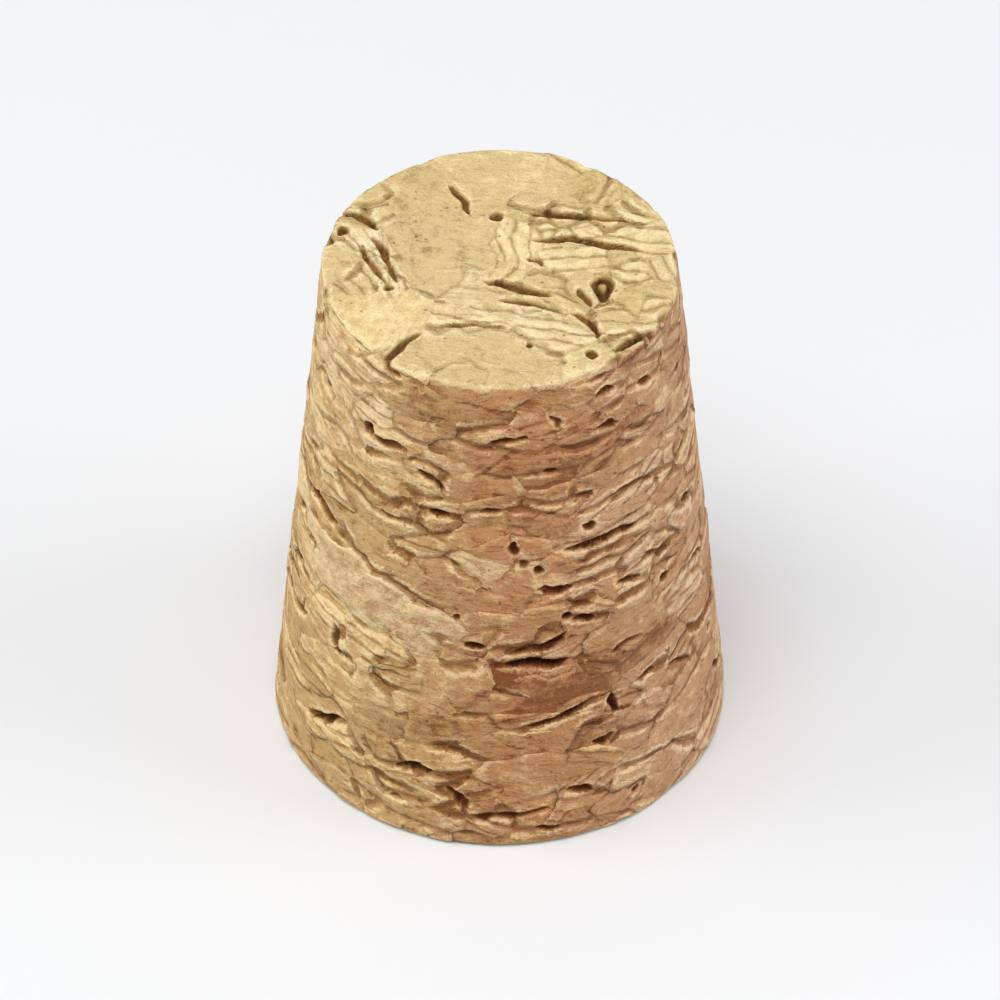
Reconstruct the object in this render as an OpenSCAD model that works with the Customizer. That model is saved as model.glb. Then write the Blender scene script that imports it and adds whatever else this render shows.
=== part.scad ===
// Tapered bottle stopper of agglomerated cork: ground granules pressed into one plug.
// It stands on its wide end. Open gaps, voids and chips between the granules are cut
// into the side, both ends and both rims.

/* [Stopper] */
// Diameter of the wide end, on which it stands
wide_d = 24; // [18:0.5:36]
// Diameter of the narrow end, which enters the bottle
narrow_d = 18; // [12:0.5:30]
// Height from end to end
height = 30; // [20:1:50]
// Radius left on both rims by the grinding
rim_round = 0.3; // [0.1:0.05:0.8]

/* [Gaps between granules] */
// Width of an open gap against its drawn width
gap_scale = 1; // [0.6:0.05:1.4]
// Depth of a gap or void for each millimetre of its width
depth_ratio = 1.3; // [0.6:0.1:2]
// Shallowest cut that is made
least_depth = 0.25; // [0.1:0.05:0.5]
// Scattered gaps round the side, apart from its front
side_gaps = 112; // [0:8:160]
// Scattered gaps on the wide end
wide_gaps = 34; // [0:2:60]

/* [Voids and chips] */
// Scattered voids round the side, apart from its front
side_voids = 40; // [0:4:80]
// Scattered voids on the wide end
wide_voids = 12; // [0:2:30]
// Chips along the rim of the wide end
wide_chips = 9; // [0:1:16]
// Depth of a chip below the corner of the rim
chip_depth = 0.3; // [0.2:0.02:0.6]

/* [Hidden] */

$fn = 96;
cork_colour = [0.80, 0.63, 0.42];

wide_r = wide_d / 2;
narrow_r = narrow_d / 2;
taper = atan((wide_r - narrow_r) / height);
rim_steps = 4;

// A cut starts this far outside the surface
proud = 0.6;
// Turn between one scattered cut and the next, which never lines them up
golden_turn = 137.508;
// Scattered cuts keep this far from the placed ones, and from the ends
clear_of_placed = 1.7;
clear_of_end = 1.2;
// The front reaches this far round to either side. All its cuts are placed ones.
front_reach = 66;

// The placed gaps follow the seams round the largest granules on the front.
// Side: [turn from the front, height, length, slope, bow, width]
SIDE_GAPS = [
    [-63, 17.8, 3.2, 0, 0.1, 0.62],
    [-36, 25.0, 2.2, 8, -0.15, 0.40],
    [-21, 23.6, 2.0, -38, 0.1, 0.40],
    [-18, 21.6, 1.3, 5, 0.15, 0.40],
    [-34, 20.6, 1.8, 5, -0.1, 0.28],
    [-3, 22.2, 1.3, 2, 0, 0.28],
    [3, 26.6, 2.2, 2, 0.1, 0.34],
    [17, 27.4, 1.3, -58, 0.2, 0.34],
    [35, 28.2, 1.4, 5, 0.15, 0.38],
    [35, 26.1, 1.7, -12, 0.15, 0.36],
    [52, 27.4, 1.3, -20, 0, 0.38],
    [15, 24.5, 1.0, 0, 0, 0.32],
    [24, 22.4, 2.2, -3, 0.1, 0.26],
    [4, 19.8, 1.0, 88, 0, 0.50],
    [16, 17.0, 2.0, -5, -0.1, 0.58],
    [32, 19.1, 5.0, -3, 0.2, 0.52],
    [41, 21.1, 5.2, -2, 0.5, 0.30],
    [-7, 13.4, 1.2, -5, 0.15, 0.42],
    [10, 13.6, 3.8, 16, -0.3, 0.50],
    [24, 14.5, 1.4, -15, 0.1, 0.44],
    [10, 12.2, 3.6, -6, 0.2, 0.60],
    [39, 15.6, 2.2, -14, 0.3, 0.32],
    [37, 11.7, 2.6, 0, 0.1, 0.28],
    [-50, 10.4, 2.1, 100, 0.2, 0.48],
    [17, 8.8, 4.6, 16, -0.2, 0.36],
    [32, 8.3, 1.6, -75, 0, 0.54],
    [28, 6.3, 1.4, 5, -0.2, 0.46],
    [43, 8.9, 1.6, 8, 0.1, 0.32],
    [57, 8.0, 2.6, -22, 0, 0.32],
    [-54, 4.8, 3.4, 28, -0.25, 0.52],
    [-23, 4.5, 2.4, 10, 0.15, 0.58],
    [-12, 2.9, 2.4, -58, 0.5, 0.46],
    [3, 2.4, 4.8, 3, -0.15, 0.40],
    [21, 3.2, 1.8, -22, 0.1, 0.42],
    [12, 1.2, 1.8, -5, 0, 0.34],
    [-76, 12.1, 2.6, 22, 0, 0.36],
    [-70, 9.5, 2.2, 19, 0, 0.34],
    [69, 17.4, 1.5, -36, 0, 0.46],
    [72, 12.8, 2.4, -20, 0.1, 0.38],
    [-36, 29.2, 1.6, 3, 0.1, 0.28],
    [32, 29.3, 1.4, -4, 0.1, 0.28],
    [-13, 18.7, 1.0, -28, 0, 0.28],
    [48, 16.6, 1.2, -30, 0, 0.28],
    [-27, 2.3, 1.3, 6, 0, 0.26]
];

// Narrow end: [across, back, length, slope, bow, width]
END_GAPS = [
    [4.3, 1.5, 6.2, -8, 0.35, 0.52],
    [4.0, 3.7, 6.2, -7, -0.1, 0.38],
    [0.8, -1.7, 4.0, -17, 0.1, 0.50],
    [1.5, -3.0, 3.8, -16, 0.1, 0.32],
    [4.1, -4.4, 2.5, -58, 0.35, 0.40],
    [4.2, -2.3, 1.6, -70, 0, 0.36],
    [1.7, 0.3, 1.2, -38, 0.1, 0.32],
    [-7.1, 3.4, 2.6, -34, 0.25, 0.44],
    [-5.8, 0.5, 3.9, -66, 0.2, 0.40],
    [-6.4, 0.0, 4.0, -65, 0.2, 0.32],
    [-4.8, -6.1, 3.2, 58, 0.35, 0.46],
    [-1.6, -4.6, 4.8, -4, 0.3, 0.28],
    [-2.1, 5.0, 2.8, -62, 0, 0.40],
    [6.8, -5.6, 2.8, 32, 0.2, 0.62]
];

// Voids, as [turn from the front, height, width] and [across, back, width]
SIDE_VOIDS = [
    [-44, 25.2, 0.8], [7, 18.8, 0.5], [11, 18.3, 0.6], [27, 20.3, 0.7],
    [19, 15.0, 0.6], [53, 14.3, 0.7], [-12, 15.2, 0.5], [37, 1.8, 0.6]
];
END_VOIDS = [
    [-7.9, 2.6, 0.7], [-0.2, 3.6, 0.7], [2.4, 4.1, 0.45], [1.5, -5.8, 0.5],
    [4.5, -6.5, 0.65], [-5.5, -1.6, 0.5], [-8.5, 1.9, 0.6]
];

// Chips on the narrow rim: [turn from the front, length, depth, lean]
NARROW_CHIPS = [
    [40, 0.9, 0.28, 8], [66, 1.3, 0.24, -9], [93, 1.7, 0.26, 7], [121, 1.1, 0.24, -8],
    [150, 1.1, 0.34, 8], [178, 1.5, 0.26, -7], [-155, 1.4, 0.30, 8], [-133, 1.0, 0.26, -8],
    [-104, 1.6, 0.26, 7], [-77, 1.0, 0.24, -9], [-52, 0.9, 0.22, 9]
];

// A knot in one granule of the narrow end: a three-sided crack round an islet
KNOT_PLACE = [5.1, -1.7];
KNOT = [[-0.6, 0.4], [0, 0.9], [0.6, 0.5], [0.3, -0.5], [0, -1.1], [-0.3, -0.4]];
knot_depth = 0.5;
knot_islet = 0.45;

// A number from 0 to 1 that is always the same for the same n and stream
function mixed(n, stream) =
    let (v = sin(n * 78.233 + stream * 41.417 + 13.7) * 4375.8545)
    v - floor(v);

function between(low, high, part) = low + (high - low) * part;

// Radius of the side at a height above the wide end
function radius_at(up) = between(wide_r, narrow_r, up / height);

// Turns an angle into the range -180 to 180
function wrapped(turn) = turn - 360 * round(turn / 360);

// How far apart two places on the side are
function side_distance(a, b) =
    norm([wrapped(a[0] - b[0]) * PI / 180 * radius_at(b[1]), a[1] - b[1]]);

function clear_of(place, others) =
    len([for (o = others)
        if (side_distance(place, o) < clear_of_placed + o[2] / 4) o]) == 0;

function off_front(place) = abs(place[0]) > front_reach;

// Rounded corner of the profile, whose centre lies at a height of up
function rim_arc(up, from, to) =
    let (centre = [radius_at(up) - rim_round / cos(taper), up])
    [for (k = [0:rim_steps])
        let (a = between(from, to, k / rim_steps))
        centre + rim_round * [cos(a), sin(a)]];

// Places that climb the side in a spiral, each a golden turn after the last
function spiral_place(i, count, stream) = [
    wrapped(i * golden_turn + between(-9, 9, mixed(i, stream))),
    between(clear_of_end, height - clear_of_end, (i + mixed(i, stream + 1)) / count)
];

// Places that fill a round face like the seeds of a sunflower
function sunflower_place(i, count, radius, stream) =
    let (r = (radius - clear_of_end) * sqrt((i + 0.5) / count),
         a = i * golden_turn + between(-12, 12, mixed(i, stream)))
    [r * cos(a), r * sin(a)];

// A scattered gap: mostly small, some long; on the side it lies nearly level
function scattered_gap(place, i, most_slope, stream) =
    let (size = pow(mixed(i, stream), 2))
    [place[0], place[1],
     between(0.9, 3.4, size),
     between(-most_slope, most_slope, mixed(i, stream + 1)),
     between(-0.3, 0.3, mixed(i, stream + 2)),
     between(0.22, 0.42, mixed(i, stream + 3))];

function scattered_void(place, i, stream) =
    [place[0], place[1], between(0.45, 0.95, pow(mixed(i, stream), 2))];

// Outline of a gap along X: a bowed seam that wanders a little, widest near its middle and
// closed at both ends. The seed n makes it differ from other gaps of its length.
function gap_outline(length, bow, width, n) =
    let (steps = [0.16, 0.38, 0.62, 0.84],
         wander = min(0.16, 0.07 * length),
         centre = function (t)
             [length * (t - 0.5),
              bow * (1 - pow(2 * t - 1, 2)) + wander * between(-1, 1, mixed(n + t * 9, 3))],
         half = function (t, stream)
             [0, gap_scale * width / 2 * pow(sin(180 * t), 0.7)
                 * between(0.5, 1.2, mixed(n + t * 7, stream))])
    concat([centre(0)],
           [for (t = steps) centre(t) + half(t, 5)],
           [centre(1)],
           [for (k = [3:-1:0]) centre(steps[k]) - half(steps[k], 6)]);

// Outline of a void: an uneven five-sided hollow
function void_outline(width, n) =
    [for (k = [0:4])
        let (a = 72 * k + between(-14, 14, mixed(n, k)))
        gap_scale * width / 2 * between(0.75, 1.15, mixed(n + k, 7)) * [cos(a), sin(a)]];

function depth_of(width) = max(least_depth, depth_ratio * width);

// Stands children on the side, their +Z straight out of it and their +Y up it
module on_side(turn, up) {
    rotate([0, 0, turn])
        translate([0, -radius_at(up), up])
            rotate([90 - taper, 0, 0])
                children();
}

// Stands children on the narrow end, seen from above
module on_narrow_end(across, back) {
    translate([across, back, height])
        children();
}

// Stands children on the wide end, their +Z straight down out of it
module on_wide_end(across, back) {
    translate([across, back, 0])
        rotate([180, 0, 0])
            children();
}

// A straight-walled cut of an outline, to a depth below the surface
module sunk(depth) {
    translate([0, 0, -depth])
        linear_extrude(depth + proud)
            children();
}

module gap(length, slope, bow, width, n) {
    sunk(depth_of(width))
        rotate(slope)
            polygon(gap_outline(length, bow, width, n));
}

module void(width, n) {
    sunk(depth_of(width) * 0.8)
        polygon(void_outline(width, n));
}

module knot() {
    sunk(knot_depth)
        difference() {
            polygon(KNOT);
            translate([0, 0.1])
                scale(knot_islet)
                    polygon(KNOT);
        }
}

// A flake lost from a rim: its floor leans along the rim, so it fades out at one end.
// The cut is square to the corner when tilt is 45 at the narrow end, or -45 at the wide one.
module chip(radius, up, tilt, turn, length, depth, lean) {
    rotate([0, 0, turn])
        translate([0, -radius, up])
            rotate([90 - tilt, 0, 0])
                rotate([0, lean, 0])
                    sunk(depth)
                        polygon(void_outline(length, turn));
}

module side_cuts() {
    scattered = [for (i = [0:side_gaps - 1])
        let (g = scattered_gap(spiral_place(i, side_gaps, 11), i, 32, 13))
        if (off_front(g) && clear_of(g, SIDE_GAPS)) g];
    gaps = concat(SIDE_GAPS, scattered);
    for (g = gaps)
        on_side(g[0], g[1])
            gap(g[2], g[3], g[4], g[5], g[0]);

    hollows = [for (i = [0:side_voids - 1])
        let (v = scattered_void(spiral_place(i + 0.37, side_voids, 31), i, 33))
        if (off_front(v) && clear_of(v, gaps)) v];
    for (v = concat(SIDE_VOIDS, hollows))
        on_side(v[0], v[1])
            void(v[2], v[0]);
}

module narrow_end_cuts() {
    for (g = END_GAPS)
        on_narrow_end(g[0], g[1])
            gap(g[2], g[3], g[4], g[5], g[0]);
    for (v = END_VOIDS)
        on_narrow_end(v[0], v[1])
            void(v[2], v[0]);
    on_narrow_end(KNOT_PLACE[0], KNOT_PLACE[1])
        knot();
}

module wide_end_cuts() {
    for (i = [0:wide_gaps - 1]) {
        g = scattered_gap(sunflower_place(i, wide_gaps, wide_r, 71), i, 90, 73);
        on_wide_end(g[0], g[1])
            gap(g[2], g[3], g[4], g[5], i);
    }
    for (i = [0:wide_voids - 1]) {
        v = scattered_void(sunflower_place(i + 0.6, wide_voids, wide_r, 91), i, 93);
        on_wide_end(v[0], v[1])
            void(v[2], i);
    }
}

module chips() {
    for (c = NARROW_CHIPS)
        chip(narrow_r, height, 45, c[0], c[1], c[2], c[3]);
    for (i = [0:wide_chips - 1]) {
        turn = i * 360 / wide_chips + between(-14, 14, mixed(i, 131));
        length = between(0.8, 2.2, mixed(i, 132));
        depth = chip_depth * between(0.75, 1.1, mixed(i, 133));
        chip(wide_r, 0, -45, turn, length, depth, between(-9, 9, mixed(i, 134)));
    }
}

// The ground plug, before its granules part
module plug() {
    rotate_extrude()
        polygon(concat(
            [[0, 0]],
            rim_arc(rim_round, -90, taper),
            rim_arc(height - rim_round, taper, 90),
            [[0, height]]));
}

module stopper() {
    color(cork_colour)
        difference() {
            plug();
            side_cuts();
            narrow_end_cuts();
            wide_end_cuts();
            chips();
        }
}

stopper();
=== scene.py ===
import itertools
import math

import bmesh
import bpy
import numpy as np
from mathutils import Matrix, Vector
from mathutils.bvhtree import BVHTree
from mathutils.kdtree import KDTree


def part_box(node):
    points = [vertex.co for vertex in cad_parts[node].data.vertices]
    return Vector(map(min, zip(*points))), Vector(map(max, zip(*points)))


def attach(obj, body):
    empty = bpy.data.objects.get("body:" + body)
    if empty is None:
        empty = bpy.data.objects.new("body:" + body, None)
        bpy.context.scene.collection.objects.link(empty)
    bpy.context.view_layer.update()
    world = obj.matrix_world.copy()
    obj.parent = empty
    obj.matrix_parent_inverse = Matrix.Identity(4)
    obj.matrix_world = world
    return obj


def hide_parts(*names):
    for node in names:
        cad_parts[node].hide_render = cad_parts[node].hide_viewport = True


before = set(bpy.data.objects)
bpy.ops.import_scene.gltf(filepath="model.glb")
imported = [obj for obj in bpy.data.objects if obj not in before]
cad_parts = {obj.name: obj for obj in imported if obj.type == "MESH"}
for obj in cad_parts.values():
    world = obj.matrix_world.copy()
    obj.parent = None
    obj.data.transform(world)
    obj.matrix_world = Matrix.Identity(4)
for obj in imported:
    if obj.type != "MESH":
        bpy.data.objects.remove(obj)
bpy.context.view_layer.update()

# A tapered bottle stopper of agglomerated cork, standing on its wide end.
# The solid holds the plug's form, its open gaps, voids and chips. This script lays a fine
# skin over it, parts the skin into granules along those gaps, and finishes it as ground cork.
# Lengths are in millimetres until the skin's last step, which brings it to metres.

MM = 0.001
NODE = "stopper"


# ------------------------ the plug's form

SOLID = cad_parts[NODE]
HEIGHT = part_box(NODE)[1].z / MM
RIM_ROUND = 0.3

# The tree of the solid's faces, in millimetres, for looking at its surface
SURFACE = BVHTree.FromPolygons(
    [v.co / MM for v in SOLID.data.vertices], [p.vertices for p in SOLID.data.polygons]
)


def undented_radius(up, looks=72, start=40.0):
    """The side's radius at a height: the largest that looking inwards from all round finds."""
    found = []
    for k in range(looks):
        angle = math.tau * k / looks
        out = Vector((math.cos(angle), math.sin(angle), 0.0))
        place = SURFACE.ray_cast(out * start + Vector((0, 0, up)), -out)[0]
        found.append(place.xy.length)
    return max(found)


LOOK_LOW, LOOK_HIGH = 0.2 * HEIGHT, 0.8 * HEIGHT
SLOPE = (undented_radius(LOOK_HIGH) - undented_radius(LOOK_LOW)) / (LOOK_HIGH - LOOK_LOW)
WIDE_R = undented_radius(LOOK_LOW) - SLOPE * LOOK_LOW
NARROW_R = WIDE_R + SLOPE * HEIGHT
TAPER = math.atan(-SLOPE)


def side_place(turn, up):
    """A place on the side: turn in degrees from the front (-Y) towards +X, up in mm."""
    a = math.radians(turn)
    r = WIDE_R + SLOPE * up
    return np.array([r * math.sin(a), -r * math.cos(a), up])


def end_place(across, back):
    """A place on the narrow end, seen from above."""
    return np.array([across, back, HEIGHT])


def surface_depth(places):
    """How far places lie under the plug's plain surface, and that surface's direction there."""
    radius = np.hypot(places[:, 0], places[:, 1])
    out = places[:, :2] / np.maximum(radius, 1e-9)[:, None]
    under = np.stack([
        (WIDE_R + SLOPE * places[:, 2] - radius) * math.cos(TAPER),
        HEIGHT - places[:, 2],
        places[:, 2],
    ], 1)
    facing = np.zeros((3, len(places), 3))
    facing[0, :, :2] = out * math.cos(TAPER)
    facing[0, :, 2] = math.sin(TAPER)
    facing[1, :, 2] = 1
    facing[2, :, 2] = -1
    side = under.argmin(1)
    return under.min(1), facing[side, np.arange(len(places))]


# ------------------------ the skin's mesh

ROUND_STEPS = 240      # faces round the plug; a multiple of 12, so that ends and side meet
SIDE_ROWS = 128
RIM_ROWS = 4


def rim_rows(up, start, stop):
    """Profile points round one rim, from one direction to another, as (radius, height)."""
    centre = WIDE_R + SLOPE * up - RIM_ROUND / math.cos(TAPER)
    angles = np.linspace(start, stop, RIM_ROWS + 1)
    return [(centre + RIM_ROUND * math.cos(a), up + RIM_ROUND * math.sin(a)) for a in angles]


def profile():
    """The plug's outline from the flat of the wide end to the flat of the narrow one."""
    low = rim_rows(RIM_ROUND, -math.pi / 2, TAPER)
    high = rim_rows(HEIGHT - RIM_ROUND, TAPER, math.pi / 2)
    steps = np.linspace(0, 1, SIDE_ROWS + 1)[1:-1, None]
    side = np.array(low[-1]) * (1 - steps) + np.array(high[0]) * steps
    return low + [tuple(p) for p in side] + high


def add_side(bm, outline):
    """Spins the outline into the side and both rims."""
    verts = [bm.verts.new((r, 0, z)) for r, z in outline]
    edges = [bm.edges.new(pair) for pair in itertools.pairwise(verts)]
    bmesh.ops.spin(
        bm, geom=verts + edges, cent=(0, 0, 0), axis=(0, 0, 1),
        angle=math.tau, steps=ROUND_STEPS, use_merge=True,
    )


def add_ends(bm, low, high):
    """Both flat ends, in even triangles: a hexagon cut finely, then drawn out into a circle."""
    bmesh.ops.create_circle(bm, cap_ends=True, cap_tris=True, segments=6, radius=1)
    bmesh.ops.subdivide_edges(bm, edges=bm.edges[:], cuts=ROUND_STEPS // 6 - 1, use_grid_fill=True)
    sixth, half = math.pi / 3, math.pi / 6
    for v in bm.verts:
        angle = (math.atan2(v.co.y, v.co.x) - math.pi / 2) % math.tau
        sector = int(angle / sixth + 1e-7)
        within = angle - sector * sixth - half
        ring = v.co.xy.length * math.cos(within) / math.cos(half)
        turn = math.pi / 2 + (sector + 0.5 + math.tan(within) / math.tan(half) / 2) * sixth
        v.co = (ring * math.cos(turn), ring * math.sin(turn), 0)
    wide = list(bm.verts)
    copied = bmesh.ops.duplicate(bm, geom=wide + list(bm.edges) + list(bm.faces))["geom"]
    narrow = [g for g in copied if isinstance(g, bmesh.types.BMVert)]
    for verts, (radius, up) in ((wide, low), (narrow, high)):
        bmesh.ops.scale(bm, vec=(radius, radius, 1), verts=verts)
        bmesh.ops.translate(bm, vec=(0, 0, up), verts=verts)


def plain_skin():
    """The plug as it would be with no gaps, in even faces about 0.2 mm across."""
    bm = bmesh.new()
    outline = profile()
    add_ends(bm, outline[0], outline[-1])
    add_side(bm, outline)
    bmesh.ops.remove_doubles(bm, verts=bm.verts, dist=1e-3)
    bmesh.ops.triangulate(bm, faces=bm.faces)
    bmesh.ops.recalc_face_normals(bm, faces=bm.faces)
    return bm


# ------------------------ the solid's gaps in the skin

LOOK_FROM = 0.6        # looks at the solid start this far outside the plain surface
DEEPEST = 1.4
HALO = 0.28            # how far round a gap the cork's colour changes
FINE_REACHES = (0.12, 0.05)  # faces this near a gap's edge are halved, once for each
SOFT_EDGE = 0.06       # a gap's edge is eased over about this far
FRAY_CELL, FRAY_REACH = 0.6, 0.09   # a gap's edge wanders this far, over about this distance
WALL_EASINGS = 4       # times that a gap's walls are evened out
EDGE_DROP = 0.05       # depths round a place that differ by more have a gap's edge between them
GAP_SHARE_FROM = 0.1      # a gap this deep darkens the cork round it
ROUND_LOOKS = 8


def depth_at(place, facing):
    """How deep the solid lies under a place of the plain surface."""
    hit = SURFACE.ray_cast(place + facing * LOOK_FROM, -facing, LOOK_FROM + DEEPEST)[3]
    return 0.0 if hit is None else max(hit - LOOK_FROM, 0.0)


def fray(bm):
    """Gives each vertex the place from which it looks at the solid, a little off its own."""
    bm.normal_update()
    look = bm.verts.layers.float_vector["look"]
    places, facing = (
        np.array([getattr(v, name) for v in bm.verts]) for name in ("co", "normal"))
    off = soft_vector(seam_space(places), FRAY_CELL, 61) * FRAY_REACH
    off -= facing * (off * facing).sum(1, keepdims=True)
    for v, place in zip(bm.verts, places + off):
        v[look] = place


def depths_round(v, look, reach, looks=6):
    """Depths where a vertex looks and at looks places round it."""
    across = v.normal.orthogonal().normalized() * reach
    along = v.normal.cross(across)
    turns = [math.tau * k / looks for k in range(looks)]
    ring = [v[look] + across * math.cos(t) + along * math.sin(t) for t in turns]
    return [depth_at(place, v.normal) for place in [v[look], *ring]]


def refine_near_gaps(bm):
    """Halves the faces along the edges of the solid's gaps, and marks what lies near one."""
    near = bm.verts.layers.float.new("near_gap")
    look = bm.verts.layers.float_vector.new("look")
    fray(bm)
    for v in bm.verts:
        v[near] = float(max(depths_round(v, look, HALO, ROUND_LOOKS)) > EDGE_DROP)
    for reach in FINE_REACHES:
        edge = []
        for v in bm.verts:
            if v[near] > 0:
                depths = depths_round(v, look, reach)
                if max(depths) - min(depths) > EDGE_DROP:
                    edge.append(v)
        split = {e for v in edge for f in v.link_faces for e in f.edges}
        split = [e for e in bm.edges if e in split]
        bmesh.ops.subdivide_edges(bm, edges=split, cuts=1, use_grid_fill=True)
        bmesh.ops.triangulate(bm, faces=[f for f in bm.faces if len(f.verts) > 3])
        fray(bm)


def gap_depths(bm):
    """Each vertex's depth in the solid's gaps, with their edges eased, and the share of the places
    round it that lie in a gap.
    """
    near = bm.verts.layers.float["near_gap"]
    look = bm.verts.layers.float_vector["look"]
    depth, gap_share = np.zeros(len(bm.verts)), np.zeros(len(bm.verts))
    for i, v in enumerate(bm.verts):
        if v[near] > 0:
            depth[i] = sum(depths_round(v, look, SOFT_EDGE, ROUND_LOOKS)) / (ROUND_LOOKS + 1)
            wide = depths_round(v, look, HALO / 2) + depths_round(v, look, HALO, ROUND_LOOKS)
            gap_share[i] = sum(d > GAP_SHARE_FROM for d in wide) / len(wide)
    pairs = np.array([[v.index for v in e.verts] for e in bm.edges])
    count = np.maximum(np.bincount(pairs.ravel(), minlength=len(depth)), 1)
    for _ in range(WALL_EASINGS):
        beside = sum(
            np.bincount(pairs[:, a], depth[pairs[:, 1 - a]], len(depth)) for a in (0, 1))
        depth = np.where(depth > 0, (depth + beside / count) / 2, 0.0)
    return depth, gap_share


# ------------------------ soft random values

def hashed(cells, stream):
    """A number from -1 to 1 for each whole-numbered cell, always the same for that cell."""
    n = (cells * np.array([73856093, 19349663, 83492791])).sum(-1) + stream * 7919
    n = (n ^ (n >> 13)) * 1274126177 & 0x7FFFFFFF
    n = (n ^ (n >> 15)) * 668265263 & 0x7FFFFFFF
    return (n ^ (n >> 14)) / 0x3FFFFFFF - 1


def soft_noise(places, cell, stream):
    """A soft random value from -1 to 1 that changes over a distance of about cell."""
    grid = places / cell
    corner = np.floor(grid).astype(np.int64)
    part = grid - corner
    part = part * part * (3 - 2 * part)
    total = np.zeros(len(places))
    for step in itertools.product((0, 1), repeat=3):
        weight = np.where(step, part, 1 - part).prod(1)
        total += weight * hashed(corner + step, stream)
    return total


def soft_vector(places, cell, stream):
    """Three soft random values for each place."""
    return np.stack([soft_noise(places, cell, stream + k) for k in range(3)], 1)


# ------------------------ granules

# Granules are flattened along the plug's axis. In seam space, which is stretched along Z
# and warped, each granule is the space nearest to its own points.
STRETCH = np.array([1.0, 1.0, 2.0])
WARPS = [               # (cell in mm, reach across, reach along Z), largest first
    (5.5, 0.5, 1.3),
    (2.1, 0.40, 0.75),
    (0.9, 0.20, 0.26),
]

TONES = 31             # a granule's tone is a whole step from 0, dark brown, to this, pale
LINED = 32             # added to the tone of a granule with plain growth lines
LINED_SHARE = 0.3
ODD_SHARE = 0.12       # this share of the granules is much darker or paler than the rest
PAIR_MIX = 7.3         # two codes' sum times this has a fraction that tells how open their seam is
PAIR_SHUT, PAIR_OPEN = 0.46, 0.80   # the fractions of seams that are shut, and wide open
PAIR_STEP = 2.0        # a gap gets a pair of points, one each side, about this far apart
PAIR_REACH = 0.75
SEAM_PAIR_OPEN, GAP_PAIR_OPEN = 0.72, 0.84   # the fractions of listed seams, and of gaps
PAIR_JOINS = 1.5       # one of a pair joins a granule of the side that is this near
POINT_UNDER = 0.5      # a granule's point lies this far under the surface
NEAREST = 5            # candidates that each face carries
FAR = 9.0              # stands for a seam's distance where there is none
FLOOR_UNDER, FLOOR_LEVEL = 0.12, 0.9   # a gap's floor lies deeper than this, and is this level
LONG_GAP = 1.6         # a gap this much longer than it is wide has a granule on either side
# A code times these has fractions that tell its granule's slant and its level
LEAN_MIX, LEVEL_MIX = 17.13, 29.7

# Large granules of the front, each as (tone, grain turn in degrees, reach, its points)
SIDE_GRANULES = [
    (24, 8, 2.2, [(-66, 15.6), (-50, 16.0), (-34, 15.6), (-18, 14.6), (-56, 13.9), (-38, 13.7),
                  (-22, 12.9)]),
    (17, 2, 1.7, [(-5, 15.1), (5, 15.0), (14, 15.6), (1, 13.9)]),
    (3, 4, 1.5, [(8, 11.1), (17, 10.8), (25, 9.9), (11.5, 9.4), (22.5, 10.0)]),
    (13, 19.4, 1.4, [(4, 7.4), (11, 7.6), (17, 7.9), (22.5, 8.2)]),
    (13, 8.1, 1.4, [(-52, 18.6), (-42, 18.2), (-31, 17.6), (-20, 16.6), (-12, 16.4)]),
    (9, 176, 1.7, [(-17, 7.7), (-8, 8.1), (-2, 7.0)]),
    (16, 18, 1.8, [(1, 5.0), (10, 5.5), (20, 4.4), (8, 3.7)]),
    (14, 15, 1.2, [(-36, 2.6), (-29, 3.8), (-22, 3.7), (-16.5, 3.0), (-15, 1.8), (-26, 2.2)]),
    (15, 11.6, 1.2, [(-24, 5.3), (-16, 5.0), (-10.5, 4.0), (-8, 2.6)]),
    (18, 30, 0.55, [(-22, 9.3), (-18.5, 9.9), (-15, 10.5), (-11.5, 11.2)]),
    (18, 20, 1.2, [(25, 20.2), (34, 20.5), (43, 20.6)]),
    (13, 170, 1.2, [(20, 18.2), (30, 18.2), (40, 18.0)]),
    (6, 5, 1.6, [(5, 25.2), (16, 25.1), (27, 25.1)]),
    (12, 178, 1.7, [(-14, 23.4), (-4, 23.6), (-15, 25.7), (-5, 25.4)]),
    (12, 4, 1.7, [(-32, 28.0), (-18, 28.4), (-6, 27.9)]),
    (22, 12, 1.6, [(-58, 8.6), (-46, 8.0), (-36, 8.6)]),
    (16, 176, 1.6, [(33, 12.7), (43, 12.4)]),
    (23, 6, 1.6, [(-72, 22.4), (-60, 22.8)]),
    (17, 170, 1.3, [(-48, 20.4), (-34, 20.0)]),
    (17, 14, 1.5, [(50, 5.0), (60, 4.4)]),
    (14, 8, 1.4, [(36, 5.6), (44, 7.4)]),
]
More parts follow.
